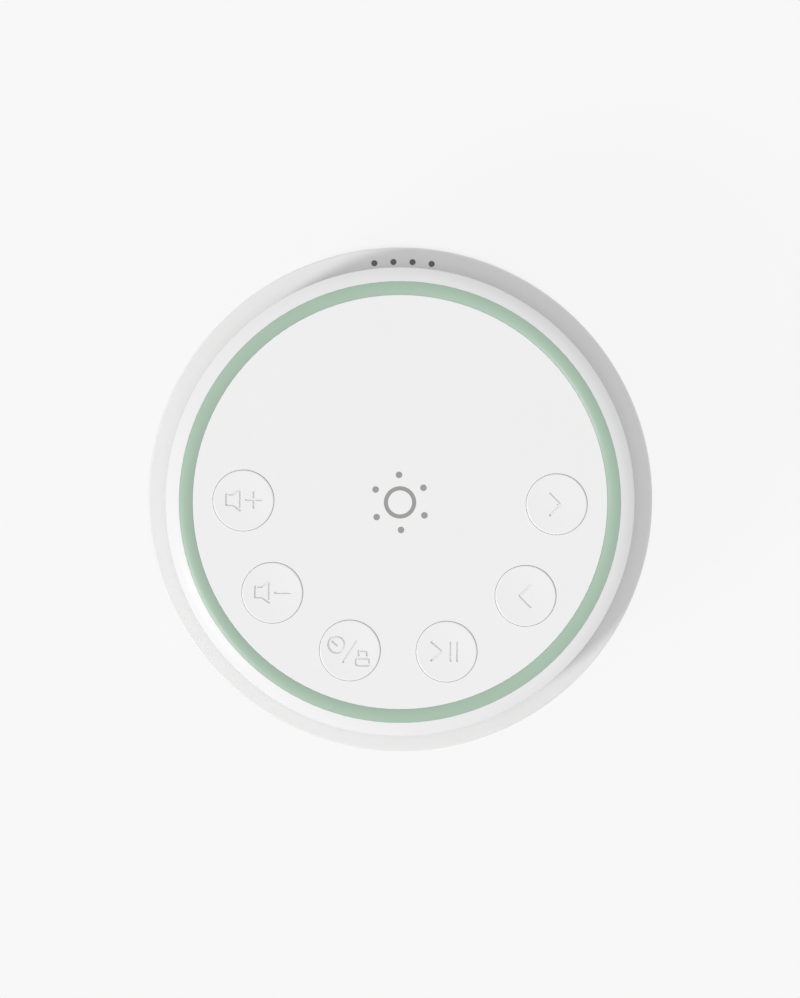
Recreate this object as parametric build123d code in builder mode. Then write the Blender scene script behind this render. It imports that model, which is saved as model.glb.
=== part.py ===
from build123d import *
import os
from math import atan2, cos, degrees, hypot, radians, sin, tan

# White noise sound machine with a night light: a low round drum that stands on a foot ring.
# A milky lamp shell stands on the base shell, and a raised cap carries the key panel with six
# push buttons round its front half, a coloured ring and a printed light symbol. Inside are the
# speaker, the lamp board, the main board, the battery and the key board.
# The origin is the centre of the foot ring on the standing surface. +Z is up, -Y is the front,
# and the charging socket and the four indicator dots are at the back. Sizes are millimetres.

# The drum is sized from the inside. Heights stack up from the foot over the speaker, the main
# board and the battery to the panel. Radii go out from the speaker and the battery over the can
# and the lamp board to the shell, and from the shell's shoulder in again over the cap to the keys.

# ---------------------------------------------------------------- base
foot_stand = 1.0            # the foot ring holds the base this far off the surface
foot_sink = 1.0             # depth of the ring's groove in the base
foot_inset = 3.9            # edge of the base to the ring
foot_width = 3.6
foot_edge = 0.5
foot_gap = 0.05
base_floor = 2.2
base_wall = 2.2
base_draft = 1.3            # the base narrows by this much towards the underside
base_round = 4.0
chamber_height = 11.3       # from the base floor to the speaker baffle
baffle_thickness = 2.0
flange_thickness = 2.0      # lower flange of the inner frame
flange_gap = 0.35           # lower flange and baffle, inside the base's tongue
seam_rise = 0.5             # seam of the base and the lamp shell, above that flange
tongue_wall = 1.5           # ring on the base that centres the lamp shell
tongue_height = 2.0
tongue_root = 2.6
seat_gap = 0.15             # clearance between housing pieces that slide together
inner_round = 0.8

slot_width = 1.6
slot_length = 8.0
slot_rise = 1.6             # lower end of the slots above the base floor
slot_count = 60             # places round the base; those by the socket stay closed
slot_free_angle = 17.0      # half of the closed stretch at the back
cloth_thickness = 0.35
cloth_gap = 0.1
cloth_overlap = 0.7         # the cloth covers this much more than the slots
label_radius = 27.0         # shallow bare recess under the base
label_depth = 0.3

# ---------------------------------------------------------------- fasteners
corner_count = 4
corner_angle = 45.0         # the four-screw circles all start here
screw_gap = 0.03            # round a self-tapping screw in its pilot hole
pass_gap = 0.25             # round a screw in a through hole
head_drive_depth = 0.7      # cross recess in each head

base_shank_radius = 1.45
base_head_radius = 2.8
base_head_height = 2.4
base_boss_radius = 4.6
base_recess_radius = 3.2
base_recess_depth = 7.0
base_screw_end_gap = 1.5    # top of the frame's boss past the screw's end
frame_boss_radius = 3.4
frame_boss_height = 9.0
frame_boss_sink = 0.9       # the boss stands this far in the can's wall
cap_shank_radius = 1.2
cap_head_radius = 2.1
cap_head_height = 1.5
cap_screw_length = 6.4
cap_boss_radius = 2.4
cap_boss_sink = 0.1         # the boss stands this far in the skirt
cap_pilot_end_gap = 0.4
tray_shank_radius = 1.2
tray_head_radius = 2.1
tray_head_height = 1.5
tray_screw_length = 12.0
tray_pilot_end_gap = 1.0
charge_shank_radius = 0.95
charge_head_radius = 1.8
charge_head_height = 1.3
charge_screw_length = 3.4
speaker_shank_radius = 1.1
speaker_head_radius = 1.7
speaker_head_height = 1.4
speaker_screw_length = 5.2
post_shank_radius = 0.95
post_head_radius = 1.7
post_head_height = 1.2
post_screw_length = 6.0
post_roof = 1.0             # left over the post's pilot hole

# ---------------------------------------------------------------- speaker
gasket_thickness = 0.6
basket_radius = 25.6
basket_flange = 1.2
basket_rim = 4.8            # width of the flange
basket_wall = 1.1
basket_depth = 8.9          # flange face to the back plate
spider_seat_depth = 6.9
spider_run = 5.2            # voice coil to the spider's seat
spider_seat_width = 1.8
spider_thickness = 0.35
back_plate = 1.2
coil_radius = 7.0
coil_wall = 0.4
coil_length = 6.2
coil_air = 0.35             # each side of the coil in the magnet's gap
cone_wall = 0.5
cone_rise = 5.2
cone_inset = 0.1            # edge of the cone behind the flange's face
cap_sag = 1.0               # dome of the dust cap
surround_thickness = 0.4
surround_lip = 1.5
surround_inset = 0.4        # seat of the surround in the basket's mouth
surround_width = 3.5
magnet_air = 2.0
magnet_width = 6.0
magnet_height = 6.0
yoke_inset = 1.0
yoke_thickness = 1.4
collar_gap = 1.0            # basket to the collar round its mouth
collar_depth = 2.5
terminal_thickness = 1.0
terminal_width = 8.0
terminal_height = 5.0
terminal_inset = 1.2        # inside the edge of the basket

# ---------------------------------------------------------------- boards, battery and socket
board_thickness = 1.2
main_board_gap = 1.4        # above the speaker
main_board_edge_gap = 0.5
chip_height = 1.0
main_chip_size = 7.0
main_chip_offset = 2.0      # to the right of and behind the middle of the board
small_chip_size = 5.0
sound_chip_left = 9.0
sound_chip_back = 8.0
power_chip_right = 12.0
power_chip_front = 8.0
coil_height = 3.0           # the capacitors are as high
coil_size = 6.0
coil_corner_round = 1.0
coil_left = 11.0
coil_front = 7.0
capacitor_radius = 2.5
back_capacitor_right = 13.0
back_capacitor_back = 7.0
front_capacitor_right = 4.0
front_capacitor_front = 11.0
battery_length = 50.0
battery_width = 34.0
battery_height = 7.0
battery_round = 2.0
battery_head_gap = 2.2      # battery to the key board
tray_leg = 4.2              # main board to the tray
tray_thickness = 1.4
tray_rim = 1.3
tray_rim_height = 2.4
tray_gap = 0.3
tray_ear_radius = 2.9
tray_edge_gap = 0.9         # corners of the tray to the can
tray_head_gap = 0.6         # heads of its screws to its rim
tray_arm_width = 1.8        # arms from the tray to its ears
connector_width = 6.0
connector_length = 5.0
connector_height = 3.2
connector_circle_radius = 23.5      # middle of the plugs round the main board

charge_board_length = 14.0
charge_board_width = 20.0
charge_board_lift = 3.1
charge_board_inset = 1.1    # edge of the board inside the base's wall
charge_screw_offset = 7.4
charge_screw_inset = 3.4
socket_width = 8.94         # the standard shell of a USB-C receptacle
socket_height = 3.26
socket_length = 7.35
socket_wall = 0.3
socket_inset = 0.5          # mouth behind the outer face of the base
socket_gap = 0.2
socket_lead_in = 0.6        # wider, shallow recess round the socket's opening
tongue_width = 6.7
tongue_thickness = 0.7
tongue_length = 4.5

wire_radius = 0.5
wire_gap = 0.25             # between the wires of a lead
lead_hole_width = 5.0       # holes that leads pass through
lead_hole_height = 3.0
lead_turn_gap = 3.5         # from a plug to where its lead turns
lead_tray_gap = 2.0         # from the end of the tray to there, at least
lead_bend_share = 0.45      # arc of a lead, as a share of its shorter run
lamp_lead_inset = 2.6       # from the inner edge of the lamp board
lamp_lead_rise = 7.5        # hole in the can above the lamp board

# ---------------------------------------------------------------- inner frame and lamp
column_radius = 3.4
column_gap = 0.2            # collar of the speaker to the columns
column_sink = 0.2           # the columns stand this far in the can's wall
can_wall = 2.6
can_draft = 0.8
lamp_board_gap = 1.4        # round the can
lamp_board_edge_gap = 0.6   # inside the edge of the flange
lamp_led_count = 12
lamp_led_size = 5.0
lamp_led_height = 1.6
lamp_led_inset = 3.7        # inner edge of the lamp board to the lights
lamp_led_margin = 1.1
lamp_wall = 1.8
lamp_draft = 1.4            # the lamp shell narrows by this much towards the seam
shoulder_fall = 0.05        # the shoulder falls by this much from the cap to its edge
shoulder_round = 0.45
shoulder_width = 4.25       # edge of the shoulder to the cap
deck_gap = 1.2              # cap's skirt to the frame's upper flange
deck_thickness = 1.5        # upper flange of the inner frame
deck_edge_gap = 0.4         # its edge inside the cap's skirt
deck_tail_width = 18.0      # tail of the upper flange under the indicator lights
deck_tail_gap = 0.9
deck_tail_lap = 1.0         # the tail reaches this far into the flange

# ---------------------------------------------------------------- cap, ring and panel
panel_rise = 10.0           # shoulder to the underside of the panel
panel_thickness = 2.0
panel_edge_gap = 0.02
panel_edge_round = 0.05
post_length = 6.5           # posts that hold the key board under the panel
post_circle_radius = 24.0
post_radius = 2.6
post_count = 5
post_first_angle = 18.0
cap_ledge = 2.4             # thickness of the ledge under the panel
ledge_width = 2.75
cap_wall = 2.4              # side of the cap, above the shoulder
skirt_inset = 2.5           # side of the cap to the outside of its skirt
skirt_wall = 1.9
skirt_depth = 3.3           # below the shoulder
rim_width = 2.9             # side of the cap to the ring
rim_fall = 1.55             # the rim falls by this much from the ring to the side
rim_bulge = 0.23            # height of the rim's arc over its chord
rim_edge_round = 0.5
ring_width = 2.8
ring_sink = 0.8             # the ring sits this much lower than the panel
ring_side_drop = 0.02       # edge of the ring below the panel's top
ring_crown = 0.3            # its rounded crest above the panel's top
ring_gap = 0.01

# ---------------------------------------------------------------- keys
key_first_angle = 180.0     # louder key, on the left; the others follow towards the front
key_step_angle = 36.0
key_hole_radius = 6.4
key_gap = 0.07              # round each button in its hole
key_rise = 0.3              # crown above the panel
key_dish = 0.16             # hollow of the crown
key_edge_round = 0.3
key_flange_lap = 0.8        # the flange is this much wider than the hole
key_flange_thickness = 1.0
key_flange_gap = 0.05       # under the panel, at rest
key_flange_edge_gap = 0.6   # flange to the cap's ledge
key_stem_radius = 2.2
key_travel = 0.5
icon_grid = 1.0             # the icons are drawn in steps of this
icon_stroke = 0.42
icon_depth = 0.3

key_board_thickness = 1.2
key_board_margin = 1.5      # switches to the edge of the key board
key_plug_drop = 1.6
switch_size = 6.0
switch_height = 3.4
switch_round = 0.4
plunger_radius = 1.75
plunger_gap = 0.08
plunger_rise = 0.9          # top of the plunger above the switch body
plunger_hold = 1.4          # length of the plunger inside the body
plunger_floor_gap = 0.2     # left under the plunger when it is pressed
touch_pad_radius = 6.0

symbol_circle_radius = 2.93
symbol_stroke = 0.85
symbol_dot_radius = 0.68
symbol_dot_circle_radius = 5.73
symbol_dot_count = 6
symbol_turn = 2.8
symbol_depth = 0.12

# ---------------------------------------------------------------- indicator lights
indicator_count = 4
indicator_inset = 3.05      # edge of the shoulder to the middle of the dots
indicator_step_angle = 4.6
indicator_back_angle = 90.0
indicator_led_height = 0.6
indicator_led_width = 0.9
indicator_led_length = 1.7
pipe_radius = 0.57
pipe_gap = 0.05
pipe_bar_width = 1.6
pipe_bar_gap = 0.3          # bar below the underside of the shoulder
pipe_led_gap = 0.15         # bar above its lights
flex_thickness = 0.3
flex_width = 14.0
flex_tuck = 3.2             # reach of the flex under the key board
flex_plug_inset = 1.5       # end of the flex to the middle of its plug
flex_plug_length = 2.4

# ---------------------------------------------------------------- heights that follow
base_z = foot_stand
floor_z = base_z + base_floor
baffle_z = floor_z + chamber_height
flange_z = baffle_z + baffle_thickness
lamp_board_z = flange_z + flange_thickness
seam_z = lamp_board_z + seam_rise
gasket_z = flange_z
basket_z = gasket_z + gasket_thickness
spider_seat_z = basket_z + spider_seat_depth
back_plate_z = basket_z + basket_depth
magnet_z = back_plate_z + back_plate
yoke_z = magnet_z + magnet_height
speaker_top_z = yoke_z + yoke_thickness
main_board_z = speaker_top_z + main_board_gap
main_board_top_z = main_board_z + board_thickness
tray_z = main_board_top_z + tray_leg
battery_z = tray_z + tray_thickness
key_board_z = battery_z + battery_height + battery_head_gap
key_board_top_z = key_board_z + key_board_thickness
panel_z = key_board_top_z + post_length
panel_top_z = panel_z + panel_thickness
shoulder_z = panel_z - panel_rise
skirt_z = shoulder_z - skirt_depth
deck_top_z = skirt_z - deck_gap
deck_z = deck_top_z - deck_thickness
charge_board_z = floor_z + charge_board_lift
charge_board_top_z = charge_board_z + board_thickness
socket_z = charge_board_top_z + socket_height / 2
slot_z = floor_z + slot_rise + slot_length / 2
lamp_lead_z = lamp_board_z + lamp_lead_rise
key_crown_z = panel_top_z + key_rise
key_flange_top_z = panel_z - key_flange_gap
key_flange_z = key_flange_top_z - key_flange_thickness
switch_top_z = key_board_top_z + switch_height
plunger_top_z = switch_top_z + plunger_rise

# ---------------------------------------------------------------- radii that follow
basket_mouth_radius = basket_radius - basket_rim
surround_seat_radius = basket_mouth_radius - surround_inset
cone_radius = surround_seat_radius - surround_width
spider_seat_inner = coil_radius + spider_run
spider_seat_outer = spider_seat_inner + spider_seat_width
magnet_inner_radius = coil_radius + magnet_air
magnet_radius = magnet_inner_radius + magnet_width
yoke_radius = magnet_radius - yoke_inset
collar_radius = basket_radius + collar_gap
speaker_screw_circle_radius = (basket_mouth_radius + basket_wall + basket_radius) / 2
terminal_x = basket_radius - terminal_inset

tray_length = battery_length + 2 * (tray_gap + tray_rim)
tray_width = battery_width + 2 * (tray_gap + tray_rim)
speaker_room_radius = collar_radius + column_gap + 2 * column_radius - column_sink
battery_room_radius = hypot(tray_length, tray_width) / 2 + tray_edge_gap
tray_screw_reach = (tray_width / 2 + tray_head_radius + tray_head_gap) / sin(radians(corner_angle))
screw_room_radius = tray_screw_reach + column_radius - column_sink
can_inner_radius = max(speaker_room_radius, battery_room_radius, screw_room_radius)
column_circle_radius = can_inner_radius + column_sink - column_radius
can_outer_radius = can_inner_radius + can_wall
can_top_radius = can_outer_radius - can_draft
base_screw_circle_radius = can_outer_radius + frame_boss_radius - frame_boss_sink
lamp_board_inner_radius = can_outer_radius + lamp_board_gap
lamp_led_circle_radius = lamp_board_inner_radius + lamp_led_inset + lamp_led_size / 2
lamp_board_outer_radius = lamp_led_circle_radius + lamp_led_size / 2 + lamp_led_margin
flange_radius = lamp_board_outer_radius + lamp_board_edge_gap
tongue_inner_radius = flange_radius + flange_gap
tongue_outer_radius = tongue_inner_radius + tongue_wall
seam_radius = tongue_outer_radius + seat_gap + lamp_wall
base_radius = seam_radius - base_draft          # at the underside
shoulder_radius = seam_radius + lamp_draft      # widest place, at the edge of the shoulder
foot_outer_radius = base_radius - foot_inset
foot_inner_radius = foot_outer_radius - foot_width
charge_board_edge_radius = base_radius - base_wall - charge_board_inset

cap_radius = shoulder_radius - shoulder_width
ring_outer_radius = cap_radius - rim_width
ring_inner_radius = ring_outer_radius - ring_width      # also the edge of the panel
ledge_inner_radius = ring_inner_radius - ledge_width
skirt_outer_radius = cap_radius - skirt_inset
skirt_inner_radius = skirt_outer_radius - skirt_wall
cap_screw_circle_radius = skirt_inner_radius - cap_boss_radius + cap_boss_sink
deck_radius = skirt_outer_radius - deck_edge_gap
deck_tail_radius = shoulder_radius - lamp_wall - deck_tail_gap
indicator_circle_radius = shoulder_radius - indicator_inset

key_flange_radius = key_hole_radius + key_flange_lap
key_circle_radius = ledge_inner_radius - key_flange_edge_gap - key_flange_radius
key_board_radius = key_circle_radius + switch_size / 2 + key_board_margin
flex_inner_radius = key_board_radius - flex_tuck
lamp_lead_x = lamp_board_inner_radius + lamp_lead_inset
plug_reach = connector_circle_radius + connector_length / 2
lead_reach = max(plug_reach + lead_turn_gap, tray_length / 2 + lead_tray_gap)
wire_step = 2 * wire_radius + wire_gap

key_names = ["volume_up", "volume_down", "timer_lock", "play_pause", "previous", "next"]
key_angles = [key_first_angle + key_step_angle * place for place in range(len(key_names))]

os.makedirs("parts", exist_ok=True)


def polar(radius, angle):
    """Plan position at a radius and an angle in degrees."""
    return (radius * cos(radians(angle)), radius * sin(radians(angle)))


def wall_radius(height):
    """Outer radius of the base's drafted wall at a height."""
    share = (height - base_z) / (seam_z - base_z)
    return base_radius + (seam_radius - base_radius) * share


def corner_places(radius):
    """The four places of a four-screw circle."""
    return PolarLocations(radius, corner_count, start_angle=corner_angle)


def screw_group(sites, seat_z, head_radius, head_height, shank_radius, length, down=True):
    """One pan-head screw with a cross recess at each site, its head standing on the seat."""
    outward = 1 if down else -1
    head_top = seat_z + outward * head_height
    with BuildPart() as group:
        with BuildSketch(Plane.XY.offset(seat_z)):
            with Locations(*sites):
                Circle(head_radius)
        extrude(amount=outward * head_height)
        fillet(group.edges().group_by(Axis.Z)[-1 if down else 0], head_height / 3)
        with BuildSketch(Plane.XY.offset(seat_z)):
            with Locations(*sites):
                Circle(shank_radius)
        extrude(amount=-outward * length)
        chamfer(group.edges().group_by(Axis.Z)[0 if down else -1], shank_radius / 3)
        with BuildSketch(Plane.XY.offset(head_top)):
            with Locations(*sites):
                Rectangle(head_radius * 1.1, head_radius / 4)
                Rectangle(head_radius / 4, head_radius * 1.1)
        extrude(amount=-outward * head_drive_depth, mode=Mode.SUBTRACT)
    return group.part


def at_circle(radius, count, first, step):
    """Plan positions spaced evenly by angle."""
    return [polar(radius, first + step * place) for place in range(count)]


corner_step = 360 / corner_count
base_screw_sites = at_circle(base_screw_circle_radius, corner_count, corner_angle, corner_step)
cap_screw_sites = at_circle(cap_screw_circle_radius, corner_count, corner_angle, corner_step)
column_sites = at_circle(column_circle_radius, corner_count, corner_angle, corner_step)
speaker_screw_sites = at_circle(speaker_screw_circle_radius, corner_count, corner_angle, corner_step)
post_sites = at_circle(post_circle_radius, post_count, post_first_angle, 360 / post_count)
key_sites = [polar(key_circle_radius, angle) for angle in key_angles]
indicator_first = indicator_back_angle - indicator_step_angle * (indicator_count - 1) / 2
indicator_sites = at_circle(indicator_circle_radius, indicator_count, indicator_first, indicator_step_angle)

# ================================================================ base
base_screw_seat_z = base_z + base_recess_depth
base_screw_length = flange_z + frame_boss_height - base_screw_end_gap - base_screw_seat_z
charge_board_back = charge_board_edge_radius - charge_board_length
charge_screw_y = charge_board_back + charge_screw_inset
charge_sites = [(-charge_screw_offset, charge_screw_y), (charge_screw_offset, charge_screw_y)]

with BuildPart() as base_shell:
    with BuildSketch(Plane.XZ) as base_profile:
        with BuildLine():
            Polyline(
                (0, base_z),
                (base_radius, base_z),
                (seam_radius, seam_z),
                (tongue_outer_radius, seam_z),
                (tongue_outer_radius, seam_z + tongue_height),
                (tongue_inner_radius, seam_z + tongue_height),
                (tongue_inner_radius, seam_z - tongue_root),
                (wall_radius(seam_z - tongue_root) - base_wall, seam_z - tongue_root),
                (wall_radius(floor_z) - base_wall, floor_z),
                (0, floor_z),
                close=True,
            )
        make_face()
        fillet(base_profile.vertices().group_by(Axis.Y)[0].sort_by(Axis.X)[-1], base_round)
        floor_corners = base_profile.vertices().filter_by_position(Axis.Y, floor_z - 0.01, floor_z + 0.01)
        fillet(floor_corners.sort_by(Axis.X)[-1], inner_round)
    revolve(axis=Axis.Z)
    # bosses that carry the baffle and take the four base screws
    with BuildSketch(Plane.XY.offset(floor_z)):
        with corner_places(base_screw_circle_radius):
            Circle(base_boss_radius)
    extrude(amount=chamber_height)
    with BuildSketch(Plane.XY.offset(base_z)):
        with corner_places(base_screw_circle_radius):
            Circle(base_recess_radius)
    extrude(amount=base_recess_depth, mode=Mode.SUBTRACT)
    with BuildSketch(Plane.XY.offset(base_z)):
        with corner_places(base_screw_circle_radius):
            Circle(base_shank_radius + pass_gap)
    extrude(amount=baffle_z - base_z, mode=Mode.SUBTRACT)
    # bosses under the charging board
    with BuildSketch(Plane.XY.offset(floor_z)):
        with Locations(*charge_sites):
            Circle(post_radius)
    extrude(amount=charge_board_lift)
    with BuildSketch(Plane.XY.offset(charge_board_z)):
        with Locations(*charge_sites):
            Circle(charge_shank_radius + screw_gap)
    extrude(amount=-charge_board_lift, mode=Mode.SUBTRACT)
    # groove of the foot ring and the bare recess inside it
    with BuildSketch(Plane.XY.offset(base_z)):
        Circle(foot_outer_radius)
        Circle(foot_inner_radius, mode=Mode.SUBTRACT)
    extrude(amount=foot_sink, mode=Mode.SUBTRACT)
    with BuildSketch(Plane.XY.offset(base_z)):
        Circle(label_radius)
    extrude(amount=label_depth, mode=Mode.SUBTRACT)
    # sound slots, all round except beside the socket
    for place in range(slot_count):
        angle = place * 360 / slot_count
        if abs(angle - indicator_back_angle) < slot_free_angle:
            continue
        outward = (cos(radians(angle)), sin(radians(angle)), 0)
        sideways = (-outward[1], outward[0], 0)
        middle = wall_radius(slot_z) - base_wall / 2
        slot_origin = (outward[0] * middle, outward[1] * middle, slot_z)
        with BuildSketch(Plane(origin=slot_origin, x_dir=sideways, z_dir=outward)):
            SlotOverall(slot_length, slot_width, rotation=90)
    extrude(amount=base_wall, both=True, mode=Mode.SUBTRACT)
    # opening for the charging socket
    with BuildSketch(Plane.XZ.offset(-charge_board_edge_radius)):
        with Locations((0, socket_z)):
            SlotOverall(socket_width + 2 * socket_gap, socket_height + 2 * socket_gap)
    extrude(amount=-(shoulder_radius - charge_board_edge_radius), mode=Mode.SUBTRACT)
    with BuildSketch(Plane.XZ.offset(-(wall_radius(socket_z) - socket_inset))):
        with Locations((0, socket_z)):
            SlotOverall(
                socket_width + 2 * (socket_gap + socket_lead_in),
                socket_height + 2 * (socket_gap + socket_lead_in),
            )
    extrude(amount=-(shoulder_radius - wall_radius(socket_z)), mode=Mode.SUBTRACT)
base_shell.part.label = "base_shell"
export_step(base_shell.part, "parts/base_shell.step")

with BuildPart() as foot_ring:
    with BuildSketch(Plane.XY):
        Circle(foot_outer_radius - foot_gap)
        Circle(foot_inner_radius + foot_gap, mode=Mode.SUBTRACT)
    extrude(amount=foot_stand + foot_sink)
    fillet(foot_ring.edges().group_by(Axis.Z)[0], foot_edge)
foot_ring.part.label = "foot_ring"
export_step(foot_ring.part, "parts/foot_ring.step")

cloth_low_z = slot_z - slot_length / 2 - cloth_overlap
cloth_high_z = slot_z + slot_length / 2 + cloth_overlap
cloth_low_radius = wall_radius(cloth_low_z) - base_wall - cloth_gap
cloth_high_radius = wall_radius(cloth_high_z) - base_wall - cloth_gap
with BuildPart() as grille_cloth:
    with BuildSketch(Plane.XZ):
        with BuildLine():
            Polyline(
                (cloth_low_radius, cloth_low_z),
                (cloth_high_radius, cloth_high_z),
                (cloth_high_radius - cloth_thickness, cloth_high_z),
                (cloth_low_radius - cloth_thickness, cloth_low_z),
                close=True,
            )
        make_face()
    revolve(axis=Axis.Z)
    with BuildSketch(Plane.XY.offset(cloth_low_z)):
        with Locations((0, base_radius)):
            Rectangle(2 * base_radius * sin(radians(slot_free_angle)), base_radius)
    extrude(amount=cloth_high_z - cloth_low_z, mode=Mode.SUBTRACT)
grille_cloth.part.label = "grille_cloth"
export_step(grille_cloth.part, "parts/grille_cloth.step")

base_screws = screw_group(
    base_screw_sites,
    base_screw_seat_z,
    base_head_radius,
    base_head_height,
    base_shank_radius,
    base_screw_length,
    down=False,
)
base_screws.label = "base_screws"
export_step(base_screws, "parts/base_screws.step")

with BuildPart() as charge_board:
    with BuildSketch(Plane.XY.offset(charge_board_z)):
        with Locations((0, charge_board_back + charge_board_length / 2)):
            Rectangle(charge_board_width, charge_board_length)
        with Locations(*charge_sites):
            Circle(charge_shank_radius + pass_gap, mode=Mode.SUBTRACT)
    extrude(amount=board_thickness)
charge_board.part.label = "charge_board"
export_step(charge_board.part, "parts/charge_board.step")

charge_board_screws = screw_group(
    charge_sites,
    charge_board_top_z,
    charge_head_radius,
    charge_head_height,
    charge_shank_radius,
    charge_screw_length,
)
charge_board_screws.label = "charge_board_screws"
export_step(charge_board_screws, "parts/charge_board_screws.step")

socket_mouth_y = wall_radius(socket_z) - socket_inset
with BuildPart() as usb_socket:
    with BuildSketch(Plane.XZ.offset(-socket_mouth_y)):
        with Locations((0, socket_z)):
            RectangleRounded(socket_width, socket_height, socket_height / 2.2)
    extrude(amount=socket_length)
    with BuildSketch(Plane.XZ.offset(-socket_mouth_y)):
        with Locations((0, socket_z)):
            RectangleRounded(
                socket_width - 2 * socket_wall, socket_height - 2 * socket_wall, socket_height / 2.8
            )
    extrude(amount=socket_length - 2 * socket_wall, mode=Mode.SUBTRACT)
usb_socket.part.label = "usb_socket"
export_step(usb_socket.part, "parts/usb_socket.step")

with BuildPart() as usb_tongue:
    with BuildSketch(Plane.XZ.offset(-(socket_mouth_y - socket_length + 2 * socket_wall))):
        with Locations((0, socket_z)):
            Rectangle(tongue_width, tongue_thickness)
    extrude(amount=-tongue_length)
    fillet(usb_tongue.edges().filter_by(Axis.Z), tongue_thickness / 2)
usb_tongue.part.label = "usb_tongue"
export_step(usb_tongue.part, "parts/usb_tongue.step")

# ================================================================ speaker
with BuildPart() as speaker_baffle:
    with BuildSketch(Plane.XY.offset(baffle_z)):
        Circle(flange_radius)
    extrude(amount=baffle_thickness)
    with BuildSketch(Plane.XY.offset(baffle_z)):
        Circle(collar_radius)
    extrude(amount=-collar_depth)
    with BuildSketch(Plane.XY.offset(flange_z)):
        Circle(basket_mouth_radius)
        with corner_places(base_screw_circle_radius):
            Circle(base_shank_radius + pass_gap)
        with corner_places(speaker_screw_circle_radius):
            Circle(speaker_shank_radius + screw_gap)
        with Locations((0, lead_reach)):
            SlotOverall(lead_hole_width, lead_hole_height)
    extrude(amount=-(baffle_thickness + collar_depth), mode=Mode.SUBTRACT)
speaker_baffle.part.label = "speaker_baffle"
export_step(speaker_baffle.part, "parts/speaker_baffle.step")

with BuildPart() as speaker_gasket:
    with BuildSketch(Plane.XY.offset(gasket_z)):
        Circle(basket_radius)
        Circle(surround_seat_radius + surround_lip + seat_gap, mode=Mode.SUBTRACT)
        with corner_places(speaker_screw_circle_radius):
            Circle(speaker_shank_radius + pass_gap, mode=Mode.SUBTRACT)
    extrude(amount=gasket_thickness)
speaker_gasket.part.label = "speaker_gasket"
export_step(speaker_gasket.part, "parts/speaker_gasket.step")

plate_hole_radius = coil_radius + coil_air
with BuildPart() as speaker_basket:
    with BuildSketch(Plane.XZ):
        with BuildLine():
            Polyline(
                (basket_radius, basket_z),
                (basket_mouth_radius, basket_z),
                (basket_mouth_radius, basket_z + basket_flange),
                (spider_seat_outer, spider_seat_z),
                (spider_seat_inner, spider_seat_z),
                (spider_seat_inner, back_plate_z),
                (plate_hole_radius, back_plate_z),
                (plate_hole_radius, magnet_z),
                (spider_seat_inner + basket_wall, magnet_z),
                (spider_seat_inner + basket_wall, spider_seat_z + basket_wall),
                (spider_seat_outer + basket_wall, spider_seat_z + basket_wall),
                (basket_mouth_radius + basket_wall, basket_z + basket_flange),
                (basket_radius, basket_z + basket_flange),
                close=True,
            )
        make_face()
    revolve(axis=Axis.Z)
    with BuildSketch(Plane.XY.offset(basket_z)):
        with corner_places(speaker_screw_circle_radius):
            Circle(speaker_shank_radius + pass_gap)
    extrude(amount=basket_flange, mode=Mode.SUBTRACT)
    # windows in the sloping wall
    window_low_z = basket_z + basket_flange + basket_wall
    window_high_z = spider_seat_z - basket_wall
    with BuildSketch(Plane.XY.offset(window_low_z)):
        with PolarLocations(basket_mouth_radius, corner_count):
            Rectangle(basket_mouth_radius, spider_seat_inner)
        Circle(spider_seat_inner, mode=Mode.SUBTRACT)
    extrude(amount=window_high_z - window_low_z, mode=Mode.SUBTRACT)
speaker_basket.part.label = "speaker_basket"
export_step(speaker_basket.part, "parts/speaker_basket.step")

with BuildPart() as speaker_magnet:
    with BuildSketch(Plane.XY.offset(magnet_z)):
        Circle(magnet_radius)
        Circle(magnet_inner_radius, mode=Mode.SUBTRACT)
    extrude(amount=magnet_height)
    chamfer(speaker_magnet.edges().filter_by(GeomType.CIRCLE).sort_by(SortBy.RADIUS)[-2:], basket_wall / 2)
speaker_magnet.part.label = "speaker_magnet"
export_step(speaker_magnet.part, "parts/speaker_magnet.step")

pole_radius = coil_radius - coil_wall - coil_air
with BuildPart() as speaker_yoke:
    with BuildSketch(Plane.XY.offset(yoke_z)):
        Circle(yoke_radius)
    extrude(amount=yoke_thickness)
    with BuildSketch(Plane.XY.offset(yoke_z)):
        Circle(pole_radius)
    extrude(amount=-(yoke_z - back_plate_z))
speaker_yoke.part.label = "speaker_yoke"
export_step(speaker_yoke.part, "parts/speaker_yoke.step")

cone_edge_z = basket_z + cone_inset
cone_neck_z = cone_edge_z + cone_rise
with BuildPart() as speaker_cone:
    with BuildSketch(Plane.XZ):
        with BuildLine():
            front = Polyline((coil_radius - coil_wall / 2, cone_neck_z - cone_wall), (cone_radius, cone_edge_z))
            Polyline(
                front @ 1,
                (cone_radius, cone_edge_z + cone_wall),
                (coil_radius, cone_neck_z + cone_wall),
                (coil_radius, cone_neck_z + coil_length),
                (coil_radius - coil_wall, cone_neck_z + coil_length),
                (coil_radius - coil_wall, cone_neck_z),
                (0, cone_neck_z - cap_sag),
                (0, cone_neck_z - cap_sag - cone_wall),
                front @ 0,
            )
        make_face()
    revolve(axis=Axis.Z)
speaker_cone.part.label = "speaker_cone"
export_step(speaker_cone.part, "parts/speaker_cone.step")

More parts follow.
